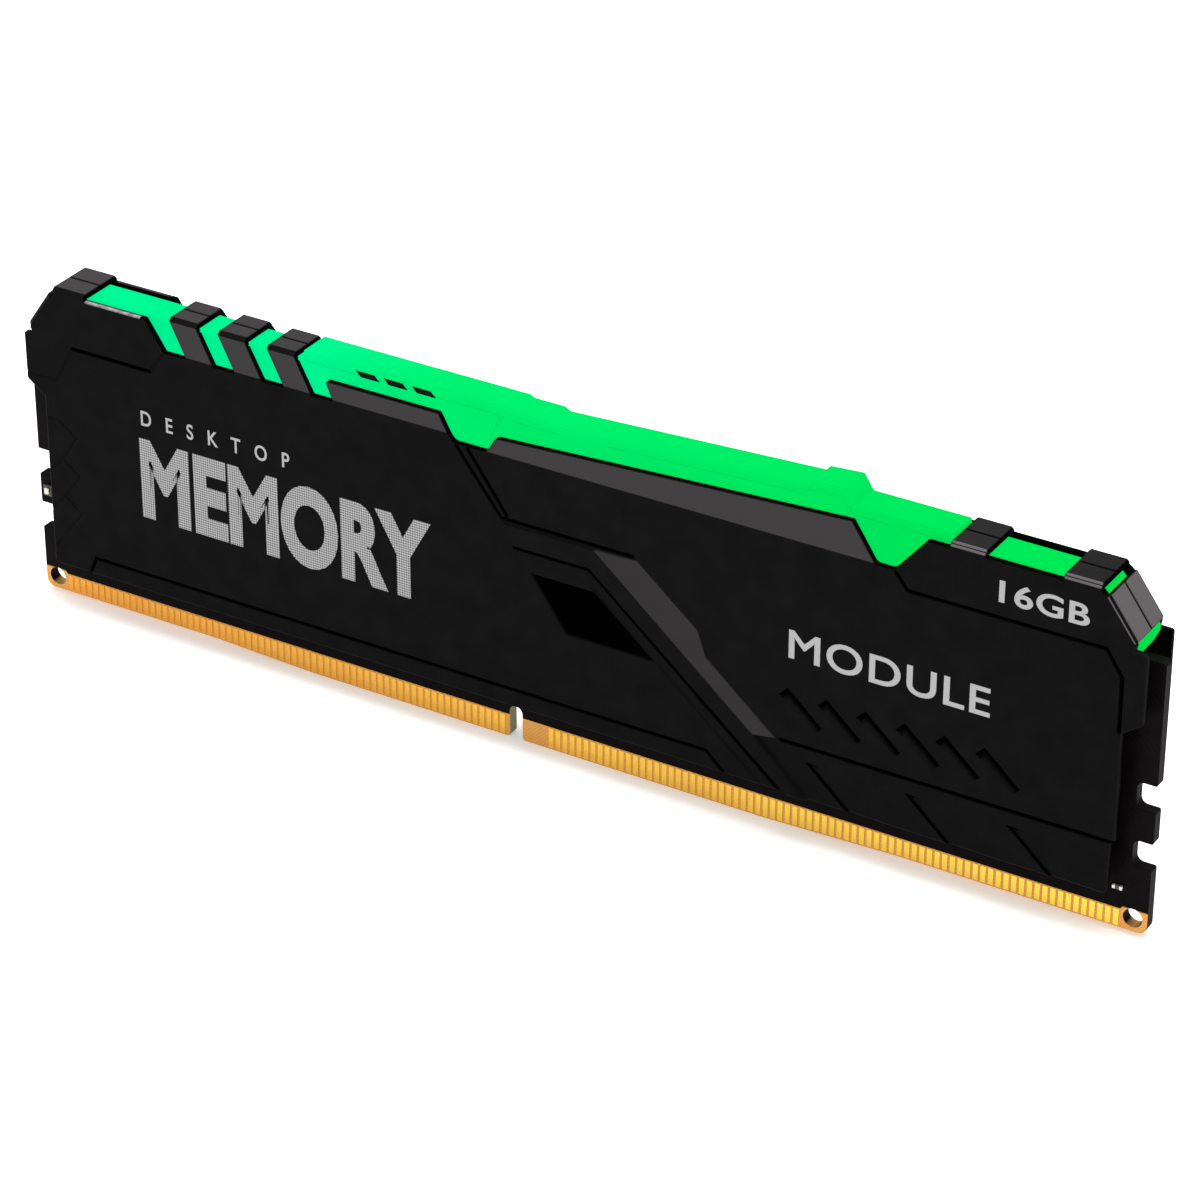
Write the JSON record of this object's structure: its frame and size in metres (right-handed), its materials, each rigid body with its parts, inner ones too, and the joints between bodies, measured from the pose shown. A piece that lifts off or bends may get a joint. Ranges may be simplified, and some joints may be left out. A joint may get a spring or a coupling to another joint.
{
  "type": "ram module",
  "caption": "Desktop memory module: a keyed edge-contact board with chips, between two folded black heat spreaders that hold a green light bar along the top.",
  "frame": {"origin": "middle of the board's mating edge, half way through the board's thickness", "axes": "+X along the board with the key slot on the -X side, -Y out of the front face, +Z from the mating edge up to the light bar"},
  "size_m": [0.1334, 0.007, 0.0412],
  "materials": {
    "solder_mask": "semi-gloss black solder mask over glass-fibre laminate",
    "gold_plating": "hard gold plating over nickel and copper",
    "black_anodised_aluminium": "satin black anodised, fine blasted grain",
    "frosted_diffuser": "translucent frosted plastic, lit green from inside",
    "thermal_pad": "soft silicone pad",
    "chip_resin": "moulded black resin",
    "ceramic_array": "dark ceramic with tinned ends",
    "led_package": "white moulded package",
    "infrared_lens": "amber moulded lens",
    "label_stock": "printed polyester label"
  },
  "bodies": {
    "root": {"back_contacts_left": "gold_plating", "back_contacts_right": "gold_plating", "back_dram_chip_1": "chip_resin", "back_dram_chip_2": "chip_resin", "back_dram_chip_3": "chip_resin", "back_dram_chip_4": "chip_resin", "back_dram_chip_5": "chip_resin", "back_dram_chip_6": "chip_resin", "back_dram_chip_7": "chip_resin", "back_dram_chip_8": "chip_resin", "back_heat_spreader": "black_anodised_aluminium", "back_thermal_pad": "thermal_pad", "front_contacts_left": "gold_plating", "front_contacts_right": "gold_plating", "front_dram_chip_1": "chip_resin", "front_dram_chip_2": "chip_resin", "front_dram_chip_3": "chip_resin", "front_dram_chip_4": "chip_resin", "front_dram_chip_5": "chip_resin", "front_dram_chip_6": "chip_resin", "front_dram_chip_7": "chip_resin", "front_dram_chip_8": "chip_resin", "front_heat_spreader": "black_anodised_aluminium", "front_thermal_pad": "thermal_pad", "ir_emitter": "infrared_lens", "ir_receiver": "infrared_lens", "led_1": "led_package", "led_2": "led_package", "led_3": "led_package", "led_4": "led_package", "led_5": "led_package", "light_bar": "frosted_diffuser", "lighting_controller": "chip_resin", "pcb": "solder_mask", "rating_label": "label_stock", "resistor_array_01": "ceramic_array", "resistor_array_02": "ceramic_array", "resistor_array_03": "ceramic_array", "resistor_array_04": "ceramic_array", "resistor_array_05": "ceramic_array", "resistor_array_06": "ceramic_array", "resistor_array_07": "ceramic_array", "resistor_array_08": "ceramic_array", "resistor_array_09": "ceramic_array", "resistor_array_10": "ceramic_array", "resistor_array_11": "ceramic_array", "resistor_array_12": "ceramic_array", "resistor_array_13": "ceramic_array", "resistor_array_14": "ceramic_array", "resistor_array_15": "ceramic_array", "resistor_array_16": "ceramic_array", "resistor_array_17": "ceramic_array", "resistor_array_18": "ceramic_array", "resistor_array_19": "ceramic_array", "resistor_array_20": "ceramic_array", "resistor_array_21": "ceramic_array", "resistor_array_22": "ceramic_array", "resistor_array_23": "ceramic_array", "resistor_array_24": "ceramic_array", "spd_eeprom": "chip_resin"}
  },
  "joints": []
}
